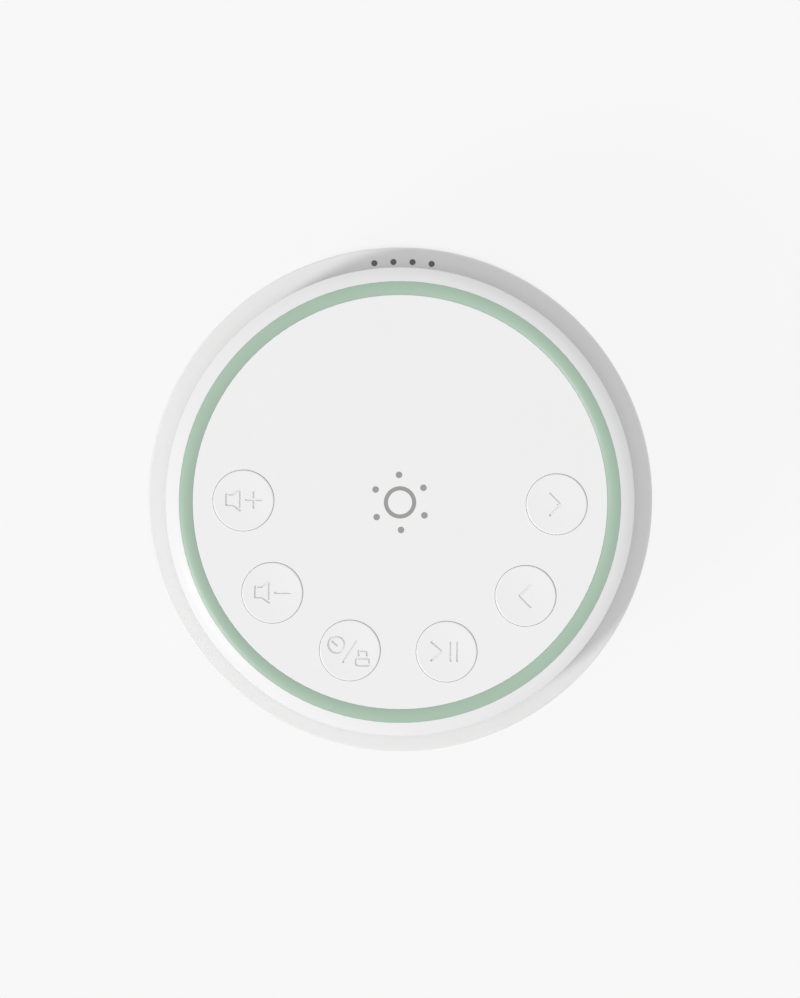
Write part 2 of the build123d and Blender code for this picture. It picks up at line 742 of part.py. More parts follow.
roll_radius = (surround_seat_radius - cone_radius) / 2
roll_z = cone_edge_z + cone_wall / 2
with BuildPart() as speaker_surround:
    with BuildSketch(Plane.XZ):
        with Locations((cone_radius + roll_radius, roll_z)):
            Circle(roll_radius)
            Circle(roll_radius - surround_thickness, mode=Mode.SUBTRACT)
        with Locations((cone_radius + roll_radius, roll_z + roll_radius)):
            Rectangle(2 * roll_radius, 2 * roll_radius, mode=Mode.SUBTRACT)
        with Locations((surround_seat_radius + (surround_lip - surround_thickness) / 2, basket_z)):
            Rectangle(
                surround_lip + surround_thickness, surround_thickness, align=(Align.CENTER, Align.MAX)
            )
    revolve(axis=Axis.Z)
speaker_surround.part.label = "speaker_surround"
export_step(speaker_surround.part, "parts/speaker_surround.step")

with BuildPart() as speaker_spider:
    with BuildSketch(Plane.XY.offset(spider_seat_z)):
        Circle((spider_seat_inner + spider_seat_outer) / 2)
        Circle(coil_radius + coil_air / 3, mode=Mode.SUBTRACT)
    extrude(amount=-spider_thickness)
speaker_spider.part.label = "speaker_spider"
export_step(speaker_spider.part, "parts/speaker_spider.step")

speaker_screws = screw_group(
    speaker_screw_sites,
    basket_z + basket_flange,
    speaker_head_radius,
    speaker_head_height,
    speaker_shank_radius,
    speaker_screw_length,
)
speaker_screws.label = "speaker_screws"
export_step(speaker_screws, "parts/speaker_screws.step")

with BuildPart() as speaker_terminals:
    with BuildSketch(Plane.XY.offset(basket_z + basket_flange)):
        with Locations((terminal_x - terminal_thickness / 2, 0)):
            Rectangle(terminal_thickness, terminal_width)
    extrude(amount=terminal_height)
speaker_terminals.part.label = "speaker_terminals"
export_step(speaker_terminals.part, "parts/speaker_terminals.step")

# ================================================================ inner frame and lamp
with BuildPart() as inner_frame:
    with BuildSketch(Plane.XZ):
        with BuildLine():
            Polyline(
                (can_inner_radius, flange_z),
                (flange_radius, flange_z),
                (flange_radius, lamp_board_z),
                (can_outer_radius, lamp_board_z),
                (can_top_radius, deck_z),
                (deck_radius, deck_z),
                (deck_radius, deck_top_z),
                (can_inner_radius, deck_top_z),
                close=True,
            )
        make_face()
    revolve(axis=Axis.Z)
    # columns inside the can carry the main board
    with BuildSketch(Plane.XY.offset(flange_z)):
        with corner_places(column_circle_radius):
            Circle(column_radius)
    extrude(amount=main_board_z - flange_z)
    with BuildSketch(Plane.XY.offset(main_board_z)):
        with corner_places(column_circle_radius):
            Circle(tray_shank_radius + screw_gap)
    extrude(amount=-(tray_screw_length - (battery_z - main_board_z) + tray_pilot_end_gap), mode=Mode.SUBTRACT)
    # bosses on the lower flange take the base screws
    with BuildSketch(Plane.XY.offset(flange_z)):
        with corner_places(base_screw_circle_radius):
            Circle(frame_boss_radius)
    extrude(amount=flange_thickness + frame_boss_height)
    with BuildSketch(Plane.XY.offset(flange_z)):
        with corner_places(base_screw_circle_radius):
            Circle(base_shank_radius + screw_gap)
    extrude(amount=frame_boss_height, mode=Mode.SUBTRACT)
    # holes for the cap screws, and the tail that holds the indicator lights
    with BuildSketch(Plane.XY.offset(deck_z)):
        with corner_places(cap_screw_circle_radius):
            Circle(cap_shank_radius + pass_gap)
    extrude(amount=deck_thickness, mode=Mode.SUBTRACT)
    with BuildSketch(Plane.XY.offset(deck_z)):
        Circle(deck_tail_radius)
        with Locations((0, deck_tail_radius)):
            Rectangle(
                deck_tail_width,
                2 * (deck_tail_radius - deck_radius + deck_tail_lap),
                mode=Mode.INTERSECT,
            )
    extrude(amount=deck_thickness)
    # passage of the lamp lead through the wall of the can
    with BuildSketch(Plane.YZ):
        with Locations((0, lamp_lead_z)):
            SlotOverall(lead_hole_width, lead_hole_height)
    extrude(amount=-shoulder_radius, mode=Mode.SUBTRACT)
inner_frame.part.label = "inner_frame"
export_step(inner_frame.part, "parts/inner_frame.step")

with BuildPart() as lamp_board:
    with BuildSketch(Plane.XY.offset(lamp_board_z)):
        Circle(lamp_board_outer_radius)
        Circle(lamp_board_inner_radius, mode=Mode.SUBTRACT)
        with corner_places(base_screw_circle_radius):
            Circle(frame_boss_radius + pass_gap, mode=Mode.SUBTRACT)
    extrude(amount=board_thickness)
lamp_board.part.label = "lamp_board"
export_step(lamp_board.part, "parts/lamp_board.step")

with BuildPart() as lamp_leds:
    with BuildSketch(Plane.XY.offset(lamp_board_z + board_thickness)):
        with PolarLocations(lamp_led_circle_radius, lamp_led_count):
            Rectangle(lamp_led_size, lamp_led_size)
    extrude(amount=lamp_led_height)
    with BuildSketch(Plane.XY.offset(lamp_board_z + board_thickness + lamp_led_height)):
        with PolarLocations(lamp_led_circle_radius, lamp_led_count):
            Circle(lamp_led_size * 0.4)
    extrude(amount=-lamp_led_height / 4, mode=Mode.SUBTRACT)
lamp_leds.part.label = "lamp_leds"
export_step(lamp_leds.part, "parts/lamp_leds.step")

lamp_opening_radius = skirt_outer_radius + seat_gap
with BuildPart() as lamp_shell:
    with BuildSketch(Plane.XZ) as lamp_profile:
        with BuildLine():
            Polyline(
                (seam_radius, seam_z),
                (shoulder_radius, shoulder_z - shoulder_fall),
                (cap_radius, shoulder_z),
                (lamp_opening_radius, shoulder_z),
                (lamp_opening_radius, shoulder_z - lamp_wall),
                (cap_radius, shoulder_z - lamp_wall),
                (shoulder_radius - lamp_wall, shoulder_z - shoulder_fall - lamp_wall),
                (seam_radius - lamp_wall, seam_z),
                close=True,
            )
        make_face()
        fillet(lamp_profile.vertices().sort_by(Axis.X)[-1], shoulder_round)
    revolve(axis=Axis.Z)
    with BuildSketch(Plane.XY.offset(shoulder_z)):
        with Locations(*indicator_sites):
            Circle(pipe_radius + pipe_gap)
    extrude(amount=-(shoulder_fall + lamp_wall), mode=Mode.SUBTRACT)
lamp_shell.part.label = "lamp_shell"
export_step(lamp_shell.part, "parts/lamp_shell.step")

# ================================================================ indicator lights
pipe_bar_top_z = shoulder_z - lamp_wall - shoulder_fall - pipe_bar_gap
led_z = deck_top_z + flex_thickness
pipe_bar_z = led_z + indicator_led_height + pipe_led_gap
with BuildPart() as indicator_pipes:
    with BuildSketch(Plane.XY.offset(pipe_bar_z)):
        Circle(indicator_circle_radius + pipe_bar_width / 2)
        Circle(indicator_circle_radius - pipe_bar_width / 2, mode=Mode.SUBTRACT)
        with Locations((0, indicator_circle_radius)):
            Rectangle(flex_width, 4 * pipe_bar_width, mode=Mode.INTERSECT)
    extrude(amount=pipe_bar_top_z - pipe_bar_z)
    with BuildSketch(Plane.XY.offset(pipe_bar_top_z)):
        with Locations(*indicator_sites):
            Circle(pipe_radius)
    extrude(amount=shoulder_z - pipe_bar_top_z)
indicator_pipes.part.label = "indicator_pipes"
export_step(indicator_pipes.part, "parts/indicator_pipes.step")

with BuildPart() as indicator_flex:
    with BuildSketch(Plane.XY.offset(deck_top_z)):
        Circle(deck_tail_radius)
        Circle(flex_inner_radius, mode=Mode.SUBTRACT)
        with Locations((0, deck_tail_radius)):
            Rectangle(flex_width, 2 * deck_tail_radius, mode=Mode.INTERSECT)
    extrude(amount=flex_thickness)
indicator_flex.part.label = "indicator_flex"
export_step(indicator_flex.part, "parts/indicator_flex.step")

with BuildPart() as indicator_leds:
    with BuildSketch(Plane.XY.offset(led_z)):
        for angle_place in range(indicator_count):
            turn = indicator_first + indicator_step_angle * angle_place
            with Locations(Location((*polar(indicator_circle_radius, turn), 0), (0, 0, turn))):
                Rectangle(indicator_led_width, indicator_led_length)
    extrude(amount=indicator_led_height)
indicator_leds.part.label = "indicator_leds"
export_step(indicator_leds.part, "parts/indicator_leds.step")

# ================================================================ main board and battery
main_board_radius = can_inner_radius - main_board_edge_gap
with BuildPart() as main_board:
    with BuildSketch(Plane.XY.offset(main_board_z)):
        Circle(main_board_radius)
        with corner_places(column_circle_radius):
            Circle(tray_shank_radius + pass_gap, mode=Mode.SUBTRACT)
    extrude(amount=board_thickness)
main_board.part.label = "main_board"
export_step(main_board.part, "parts/main_board.step")

with BuildPart() as main_board_parts:
    with BuildSketch(Plane.XY.offset(main_board_top_z)):
        with Locations((main_chip_offset, main_chip_offset)):
            Rectangle(main_chip_size, main_chip_size)
        with Locations((-sound_chip_left, sound_chip_back), (power_chip_right, -power_chip_front)):
            Rectangle(small_chip_size, small_chip_size)
    extrude(amount=chip_height)
    with BuildSketch(Plane.XY.offset(main_board_top_z)):
        with Locations((-coil_left, -coil_front)):
            RectangleRounded(coil_size, coil_size, coil_corner_round)
        with Locations(
            (back_capacitor_right, back_capacitor_back), (front_capacitor_right, -front_capacitor_front)
        ):
            Circle(capacitor_radius)
    extrude(amount=coil_height)
main_board_parts.part.label = "main_board_parts"
export_step(main_board_parts.part, "parts/main_board_parts.step")

with BuildPart() as board_connectors:
    with BuildSketch(Plane.XY.offset(main_board_top_z)):
        with Locations((-connector_circle_radius, 0)):
            Rectangle(connector_length, connector_width)
        with Locations((0, -connector_circle_radius)):
            Rectangle(connector_width, connector_length)
    extrude(amount=connector_height)
    with BuildSketch(Plane.XY.offset(main_board_z)):
        with Locations((-connector_circle_radius, 0), (connector_circle_radius, 0)):
            Rectangle(connector_length, connector_width)
        with Locations((0, connector_circle_radius)):
            Rectangle(connector_width, connector_length)
    extrude(amount=-connector_height)
    with BuildSketch(Plane.XY.offset(charge_board_top_z)):
        with Locations((0, charge_board_back + connector_length / 2)):
            Rectangle(connector_width, connector_length)
    extrude(amount=connector_height)
board_connectors.part.label = "board_connectors"
export_step(board_connectors.part, "parts/board_connectors.step")

tray_ear_place = column_circle_radius * sin(radians(corner_angle))
with BuildPart() as battery_tray:
    with BuildSketch(Plane.XY.offset(tray_z)):
        RectangleRounded(tray_length, tray_width, battery_round)
        with Locations((-tray_ear_place, 0), (tray_ear_place, 0)):
            Rectangle(tray_arm_width, 2 * tray_ear_place)
        with corner_places(column_circle_radius):
            Circle(tray_ear_radius)
    extrude(amount=tray_thickness)
    with BuildSketch(Plane.XY.offset(battery_z)):
        RectangleRounded(tray_length, tray_width, battery_round)
        RectangleRounded(
            battery_length + 2 * tray_gap, battery_width + 2 * tray_gap, battery_round, mode=Mode.SUBTRACT
        )
    extrude(amount=tray_rim_height)
    with BuildSketch(Plane.XY.offset(main_board_top_z)):
        with corner_places(column_circle_radius):
            Circle(tray_ear_radius)
    extrude(amount=tray_leg)
    with BuildSketch(Plane.XY.offset(main_board_top_z)):
        with corner_places(column_circle_radius):
            Circle(tray_shank_radius + pass_gap)
    extrude(amount=tray_leg + tray_thickness, mode=Mode.SUBTRACT)
battery_tray.part.label = "battery_tray"
export_step(battery_tray.part, "parts/battery_tray.step")

with BuildPart() as battery:
    with BuildSketch(Plane.XY.offset(battery_z)):
        RectangleRounded(battery_length, battery_width, battery_round)
    extrude(amount=battery_height)
    fillet(battery.edges().group_by(Axis.Z)[-1], battery_round * 0.9)
battery.part.label = "battery"
export_step(battery.part, "parts/battery.step")

tray_screws = screw_group(
    column_sites, battery_z, tray_head_radius, tray_head_height, tray_shank_radius, tray_screw_length
)
tray_screws.label = "tray_screws"
export_step(tray_screws, "parts/tray_screws.step")

# ================================================================ cap, ring and panel
ledge_z = panel_z - cap_ledge
rim_edge_z = panel_top_z - rim_fall
with BuildPart() as cap_shell:
    with BuildSketch(Plane.XZ) as cap_profile:
        with BuildLine():
            Polyline((skirt_outer_radius, shoulder_z), (cap_radius, shoulder_z), (cap_radius, rim_edge_z))
            SagittaArc((cap_radius, rim_edge_z), (ring_outer_radius, panel_top_z), -rim_bulge)
            Polyline(
                (ring_outer_radius, panel_top_z),
                (ring_outer_radius, panel_z - ring_sink),
                (ring_inner_radius, panel_z - ring_sink),
                (ring_inner_radius, panel_z),
                (ledge_inner_radius, panel_z),
                (ledge_inner_radius, ledge_z),
                (cap_radius - cap_wall, ledge_z),
                (cap_radius - cap_wall, shoulder_z + cap_wall),
                (skirt_inner_radius, shoulder_z + cap_wall),
                (skirt_inner_radius, skirt_z),
                (skirt_outer_radius, skirt_z),
                (skirt_outer_radius, shoulder_z),
            )
        make_face()
        rim_edge = cap_profile.vertices().filter_by_position(Axis.Y, rim_edge_z - 0.01, rim_edge_z + 0.01)
        fillet(rim_edge, rim_edge_round)
    revolve(axis=Axis.Z)
    with BuildSketch(Plane.XY.offset(deck_top_z)):
        with corner_places(cap_screw_circle_radius):
            Circle(cap_boss_radius)
    extrude(amount=ledge_z - deck_top_z)
    with BuildSketch(Plane.XY.offset(deck_top_z)):
        with corner_places(cap_screw_circle_radius):
            Circle(cap_shank_radius + screw_gap)
    extrude(amount=cap_screw_length - deck_thickness + cap_pilot_end_gap, mode=Mode.SUBTRACT)
cap_shell.part.label = "cap_shell"
export_step(cap_shell.part, "parts/cap_shell.step")

cap_screws = screw_group(
    cap_screw_sites,
    deck_z,
    cap_head_radius,
    cap_head_height,
    cap_shank_radius,
    cap_screw_length,
    down=False,
)
cap_screws.label = "cap_screws"
export_step(cap_screws, "parts/cap_screws.step")

ring_low_z = panel_z - ring_sink
ring_side_z = panel_top_z - ring_side_drop
ring_low_radius = ring_inner_radius + ring_gap
ring_high_radius = ring_outer_radius - ring_gap
with BuildPart() as accent_ring:
    with BuildSketch(Plane.XZ):
        with BuildLine():
            Polyline(
                (ring_low_radius, ring_side_z),
                (ring_low_radius, ring_low_z),
                (ring_high_radius, ring_low_z),
                (ring_high_radius, ring_side_z),
            )
            ThreePointArc(
                (ring_high_radius, ring_side_z),
                ((ring_low_radius + ring_high_radius) / 2, panel_top_z + ring_crown),
                (ring_low_radius, ring_side_z),
            )
        make_face()
    revolve(axis=Axis.Z)
accent_ring.part.label = "accent_ring"
export_step(accent_ring.part, "parts/accent_ring.step")


def symbol_sketch():
    """Ring and dots of the light symbol, in the open sketch."""
    Circle(symbol_circle_radius + symbol_stroke / 2)
    Circle(symbol_circle_radius - symbol_stroke / 2, mode=Mode.SUBTRACT)
    with PolarLocations(symbol_dot_circle_radius, symbol_dot_count, start_angle=symbol_first_angle):
        Circle(symbol_dot_radius)


symbol_first_angle = 90 + symbol_turn
with BuildPart() as top_panel:
    with BuildSketch(Plane.XY.offset(panel_z)):
        Circle(ring_inner_radius - panel_edge_gap)
    extrude(amount=panel_thickness)
    fillet(top_panel.edges().group_by(Axis.Z)[-1], panel_edge_round)
    with BuildSketch(Plane.XY.offset(panel_z)):
        with Locations(*key_sites):
            Circle(key_hole_radius)
    extrude(amount=panel_thickness, mode=Mode.SUBTRACT)
    with BuildSketch(Plane.XY.offset(panel_z)):
        with Locations(*post_sites):
            Circle(post_radius)
    extrude(amount=-post_length)
    with BuildSketch(Plane.XY.offset(key_board_top_z)):
        with Locations(*post_sites):
            Circle(post_shank_radius + screw_gap)
    extrude(amount=post_length - post_roof, mode=Mode.SUBTRACT)
    with BuildSketch(Plane.XY.offset(panel_top_z)):
        symbol_sketch()
    extrude(amount=-symbol_depth, mode=Mode.SUBTRACT)
top_panel.part.label = "top_panel"
export_step(top_panel.part, "parts/top_panel.step")

with BuildPart() as light_symbol:
    with BuildSketch(Plane.XY.offset(panel_top_z)):
        symbol_sketch()
    extrude(amount=-symbol_depth)
light_symbol.part.label = "light_symbol"
export_step(light_symbol.part, "parts/light_symbol.step")

# ================================================================ key board and its switches
with BuildPart() as key_board:
    with BuildSketch(Plane.XY.offset(key_board_z)):
        Circle(key_board_radius)
        with Locations(*post_sites):
            Circle(post_shank_radius + pass_gap, mode=Mode.SUBTRACT)
    extrude(amount=key_board_thickness)
key_board.part.label = "key_board"
export_step(key_board.part, "parts/key_board.step")

key_board_screws = screw_group(
    post_sites,
    key_board_z,
    post_head_radius,
    post_head_height,
    post_shank_radius,
    post_screw_length,
    down=False,
)
key_board_screws.label = "key_board_screws"
export_step(key_board_screws, "parts/key_board_screws.step")

with BuildPart() as touch_pad:
    with BuildSketch(Plane.XY.offset(key_board_top_z)):
        Circle(touch_pad_radius)
    extrude(amount=post_length)
touch_pad.part.label = "touch_pad"
export_step(touch_pad.part, "parts/touch_pad.step")

with BuildPart() as key_board_parts:
    with BuildSketch(Plane.XY.offset(key_board_z)):
        with Locations((0, -connector_circle_radius)):
            Rectangle(connector_width, connector_length)
    extrude(amount=-key_plug_drop)
    with BuildSketch(Plane.XY.offset(key_board_z)):
        with Locations((0, flex_inner_radius + flex_plug_inset)):
            Rectangle(flex_width, flex_plug_length)
    extrude(amount=-(key_board_z - deck_top_z - flex_thickness))
key_board_parts.part.label = "key_board_parts"
export_step(key_board_parts.part, "parts/key_board_parts.step")

bore_depth = plunger_hold + key_travel + plunger_floor_gap
with BuildPart() as switch_bodies:
    with BuildSketch(Plane.XY.offset(key_board_top_z)):
        with Locations(*key_sites):
            RectangleRounded(switch_size, switch_size, switch_round)
    extrude(amount=switch_height)
    with BuildSketch(Plane.XY.offset(switch_top_z)):
        with Locations(*key_sites):
            Circle(plunger_radius + plunger_gap)
    extrude(amount=-bore_depth, mode=Mode.SUBTRACT)
switch_bodies.part.label = "switch_bodies"
export_step(switch_bodies.part, "parts/switch_bodies.step")


# ================================================================ buttons and their icons
def stroke(start, end):
    """Round-ended stroke between two points of the icon's grid, in the open sketch."""
    run = (Vector(*end) - Vector(*start)) * icon_grid
    middle = (Vector(*end) + Vector(*start)) * icon_grid / 2
    with Locations(Location((middle.X, middle.Y, 0), (0, 0, degrees(atan2(run.Y, run.X))))):
        SlotCenterToCenter(run.length, icon_stroke)


def open_line(*points):
    """Strokes from point to point."""
    for start, end in zip(points, points[1:]):
        stroke(start, end)


def loudspeaker():
    """Outline of a loudspeaker, its mouth to the right."""
    box_left, box_right, mouth = -3.55, -2.2, -0.66
    box_half, mouth_half = 1.1, 2.2
    lift = 0.15
    open_line(
        (mouth, lift + mouth_half),
        (box_right, lift + box_half),
        (box_left, lift + box_half),
        (box_left, lift - box_half),
        (box_right, lift - box_half),
        (mouth, lift - mouth_half),
        (mouth, lift + mouth_half),
    )


def volume_up_icon():
    """Loudspeaker and a plus."""
    loudspeaker()
    stroke((0.55, 0.15), (3.75, 0.15))
    stroke((2.15, -1.45), (2.15, 1.75))


def volume_down_icon():
    """Loudspeaker and a minus."""
    loudspeaker()
    stroke((0.6, 0.0), (3.7, 0.0))


def timer_lock_icon():
    """Clock, slash and padlock."""
    clock_radius = 1.7 * icon_grid
    lock_width, lock_height = 2.8 * icon_grid, 1.45 * icon_grid
    lock_round, lock_inner_round = 0.6 * icon_grid, 0.25 * icon_grid
    with Locations(Vector(-2.78, 1.22) * icon_grid):
        Circle(clock_radius + icon_stroke / 2)
        Circle(clock_radius - icon_stroke / 2, mode=Mode.SUBTRACT)
    stroke((-2.7, 1.05), (-3.6, 1.8))
    stroke((1.45, 1.9), (-1.35, -2.4))
    with Locations(Vector(2.7, -2.35) * icon_grid):
        RectangleRounded(lock_width + icon_stroke, lock_height + icon_stroke, lock_round)
        RectangleRounded(
            lock_width - icon_stroke, lock_height - icon_stroke, lock_inner_round, mode=Mode.SUBTRACT
        )
    open_line((1.85, -0.95), (1.85, -0.05), (3.55, -0.05), (3.55, -0.95))


def play_pause_icon():
    """Play arrow and pause bars."""
    open_line((-3.15, 1.95), (-0.8, 0.05), (-3.15, -1.85))
    stroke((0.86, -1.9), (0.86, 1.9))
    stroke((2.24, -1.9), (2.24, 1.9))


def previous_icon():
    """Arrow to the left."""
    open_line((1.05, 2.3), (-1.25, 0), (1.05, -2.3))


def next_icon():
    """Arrow to the right."""
    open_line((-1.35, 2.3), (0.95, 0), (-1.35, -2.3))


button_radius = key_hole_radius - key_gap
dish_rim_radius = button_radius - key_edge_round
dish_radius = (dish_rim_radius**2 + key_dish**2) / (2 * key_dish)
icon_sketches = [
    volume_up_icon,
    volume_down_icon,
    timer_lock_icon,
    play_pause_icon,
    previous_icon,
    next_icon,
]
for name, site, icon in zip(key_names, key_sites, icon_sketches):
    with BuildPart() as button:
        with BuildSketch(Plane(origin=(*site, plunger_top_z))):
            Circle(key_stem_radius)
        extrude(amount=key_flange_z - plunger_top_z)
        with BuildSketch(Plane(origin=(*site, key_flange_z))):
            Circle(key_flange_radius)
        extrude(amount=key_flange_thickness)
        with BuildSketch(Plane(origin=(*site, key_flange_top_z))):
            Circle(button_radius)
        extrude(amount=key_crown_z - key_flange_top_z)
        fillet(button.edges().group_by(Axis.Z)[-1], key_edge_round)
        with Locations((*site, key_crown_z - key_dish + dish_radius)):
            Sphere(dish_radius, mode=Mode.SUBTRACT)
        with BuildSketch(Plane(origin=(*site, key_crown_z - key_dish - icon_depth))):
            icon()
        extrude(amount=key_dish + icon_depth, mode=Mode.SUBTRACT)
    button.part.label = f"{name}_button"
    export_step(button.part, f"parts/{name}_button.step")

    with BuildPart() as plunger:
        with BuildSketch(Plane(origin=(*site, switch_top_z - plunger_hold))):
            Circle(plunger_radius)
        extrude(amount=plunger_hold + plunger_rise)
    plunger.part.label = f"{name}_plunger"
    export_step(plunger.part, f"parts/{name}_plunger.step")


# ================================================================ leads inside the housing
def lead(points, wires, sideways):
    """Parallel wires along a route, side by side, with arcs as large as the runs allow."""
    corners = [Vector(*point) for point in points]
    runs = [after - before for before, after in zip(corners, corners[1:])]
    bends = [
        lead_bend_share * min(into.length, out.length) / tan(radians(into.get_angle(out)) / 2)
        for into, out in zip(runs, runs[1:])
    ]
    with BuildPart() as bundle:
        for wire in range(wires):
            shift = Vector(*sideways) * wire_step * (wire - (wires - 1) / 2)
            with BuildLine() as route:
                FilletPolyline(*[corner + shift for corner in corners], radius=bends)
            with BuildSketch(Plane(origin=corners[0] + shift, z_dir=runs[0])):
                Circle(wire_radius)
            sweep(path=route.line)
    return bundle.part


charge_plug_z = charge_board_top_z + connector_height / 2
under_plug_z = main_board_z - connector_height / 2
over_plug_z = main_board_top_z + connector_height / 2
battery_lead_z = battery_z + battery_height * 0.6

charge_lead = lead(
    [
        (0, charge_board_back, charge_plug_z),
        (0, lead_reach, charge_plug_z),
        (0, lead_reach, under_plug_z),
        (0, plug_reach, under_plug_z),
    ],
    3,
    (1, 0, 0),
)
charge_lead.label = "charge_lead"
export_step(charge_lead, "parts/charge_lead.step")

lamp_lead = lead(
    [
        (-lamp_lead_x, 0, lamp_board_z + board_thickness),
        (-lamp_lead_x, 0, lamp_lead_z),
        (-lead_reach, 0, lamp_lead_z),
        (-lead_reach, 0, under_plug_z),
        (-plug_reach, 0, under_plug_z),
    ],
    2,
    (0, 1, 0),
)
lamp_lead.label = "lamp_lead"
export_step(lamp_lead, "parts/lamp_lead.step")

speaker_lead = lead(
    [
        (terminal_x, 0, basket_z + basket_flange + terminal_height / 2),
        (lead_reach, 0, basket_z + basket_flange + terminal_height / 2),
        (lead_reach, 0, under_plug_z),
        (plug_reach, 0, under_plug_z),
    ],
    2,
    (0, 1, 0),
)
speaker_lead.label = "speaker_lead"
export_step(speaker_lead, "parts/speaker_lead.step")

battery_lead = lead(
    [
        (-battery_length / 2, 0, battery_lead_z),
        (-lead_reach, 0, battery_lead_z),
        (-lead_reach, 0, over_plug_z),
        (-plug_reach, 0, over_plug_z),
    ],
    2,
    (0, 1, 0),
)
battery_lead.label = "battery_lead"
export_step(battery_lead, "parts/battery_lead.step")

key_lead = lead(
    [
        (0, -plug_reach, key_board_z - key_plug_drop / 2),
        (0, -lead_reach, key_board_z - key_plug_drop / 2),
        (0, -lead_reach, over_plug_z),
        (0, -plug_reach, over_plug_z),
    ],
    4,
    (1, 0, 0),
)
key_lead.label = "key_lead"
export_step(key_lead, "parts/key_lead.step")
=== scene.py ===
from math import cos, pi, radians, sin

import bpy
from mathutils import Matrix, Vector

# A white noise sound machine with a night light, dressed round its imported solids. Metres. The
# origin is the centre of the foot ring on the table, the front is at -Y and the socket at +Y.

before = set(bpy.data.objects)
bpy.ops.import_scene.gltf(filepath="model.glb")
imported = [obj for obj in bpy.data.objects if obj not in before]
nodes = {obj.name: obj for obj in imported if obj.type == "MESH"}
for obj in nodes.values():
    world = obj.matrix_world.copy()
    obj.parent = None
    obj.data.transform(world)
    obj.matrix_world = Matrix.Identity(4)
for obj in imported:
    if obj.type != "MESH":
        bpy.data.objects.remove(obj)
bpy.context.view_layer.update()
MM = 0.001


# ---------------------------------------------------------------- building finishes
def new_finish(name):
    """An empty node material, its tree and its main shader."""
    finish = bpy.data.materials.new(name)
    finish.use_nodes = True
    tree = finish.node_tree
    return finish, tree, tree.nodes["Principled BSDF"]


def lay_on(tree, shader, colours, roughness, normal):
    """Gives the shader its colours, its roughness and its relief."""
    tree.links.new(colours, shader.inputs["Base Color"])
    tree.links.new(roughness, shader.inputs["Roughness"])
    tree.links.new(normal, shader.inputs["Normal"])


def place_on_piece(tree, stretch=(1, 1, 1), shift=(0, 0, 0)):
    """The spot on the piece, in metres, stretched along its axes."""
    spot = tree.nodes.new("ShaderNodeTexCoord")
    mapping = tree.nodes.new("ShaderNodeMapping")
    mapping.inputs["Scale"].default_value = stretch
    mapping.inputs["Location"].default_value = shift
    tree.links.new(spot.outputs["Object"], mapping.inputs["Vector"])
    return mapping.outputs["Vector"]


def off_axis(tree):
    """Distance from the machine's upright axis."""
    reach = tree.nodes.new("ShaderNodeVectorMath")
    reach.operation = "LENGTH"
    tree.links.new(place_on_piece(tree, stretch=(1, 1, 0)), reach.inputs[0])
    return reach.outputs["Value"]


def cloud(tree, size, detail=2.0, stretch=(1, 1, 1), shift=(0, 0, 0)):
    """Soft random patches of about this size."""
    noise = tree.nodes.new("ShaderNodeTexNoise")
    noise.inputs["Scale"].default_value = 1 / size
    noise.inputs["Detail"].default_value = detail
    noise.inputs["Roughness"].default_value = 0.55
    tree.links.new(place_on_piece(tree, stretch, shift), noise.inputs["Vector"])
    return noise.outputs["Fac"]


def spread(tree, value, low, high, start=0.3, end=0.7):
    """The value's range from start to end, spread from low to high."""
    ramp = tree.nodes.new("ShaderNodeMapRange")
    limits = {"From Min": start, "From Max": end, "To Min": low, "To Max": high}
    for socket, limit in limits.items():
        ramp.inputs[socket].default_value = limit
    tree.links.new(value, ramp.inputs["Value"])
    return ramp.outputs["Result"]


def reckon(tree, operation, first, second=None):
    """A sum on one or two values; a plain number stands for itself."""
    node = tree.nodes.new("ShaderNodeMath")
    node.operation = operation
    for socket, value in zip(node.inputs, (first, second)):
        if value is None:
            continue
        if isinstance(value, (int, float)):
            socket.default_value = value
        else:
            tree.links.new(value, socket)
    return node.outputs["Value"]


def two_tone(tree, value, first, second):
    """A colour that goes from the first to the second with the value; the first may be linked."""
    mix = tree.nodes.new("ShaderNodeMix")
    mix.data_type = "RGBA"
    if isinstance(first, tuple):
        mix.inputs["A"].default_value = (*first, 1)
    else:
        tree.links.new(first, mix.inputs["A"])
    mix.inputs["B"].default_value = (*second, 1)
    tree.links.new(value, mix.inputs["Factor"])
    return mix.outputs["Result"]


def soft_edge(tree, radius):
    """Normal of a piece whose sharp edges are broken by this radius."""
    bevel = tree.nodes.new("ShaderNodeBevel")
    bevel.samples = 4
    bevel.inputs["Radius"].default_value = radius
    return bevel.outputs["Normal"]


def relief(tree, height, depth, under=None):
    """Normal of a fine surface relief of this depth, on top of another normal."""
    bump = tree.nodes.new("ShaderNodeBump")
    bump.inputs["Strength"].default_value = 1.0
    bump.inputs["Distance"].default_value = depth
    tree.links.new(height, bump.inputs["Height"])
    if under is not None:
        tree.links.new(under, bump.inputs["Normal"])
    return bump.outputs["Normal"]


def shaded(colour, share):
    """The colour made lighter or darker by a share of itself."""
    return tuple(min(1.0, part * (1 + share)) for part in colour)


def rubbed(tree, roughness, change):
    """Roughness of a handled surface: polished and dulled patches with a few fine hairlines."""
    patches = spread(tree, cloud(tree, 3 * MM, detail=3.0), roughness - change, roughness + change)
    across = cloud(tree, 1.6 * MM, detail=1.0, stretch=(1, 26, 1), shift=(0.11, 0, 0))
    along = cloud(tree, 1.9 * MM, detail=1.0, stretch=(22, 1, 1), shift=(0, 0.07, 0))
    lines_across = spread(tree, across, 0, change, start=0.69, end=0.74)
    lines_along = spread(tree, along, 0, change, start=0.7, end=0.75)
    return reckon(tree, "ADD", patches, reckon(tree, "ADD", lines_across, lines_along))


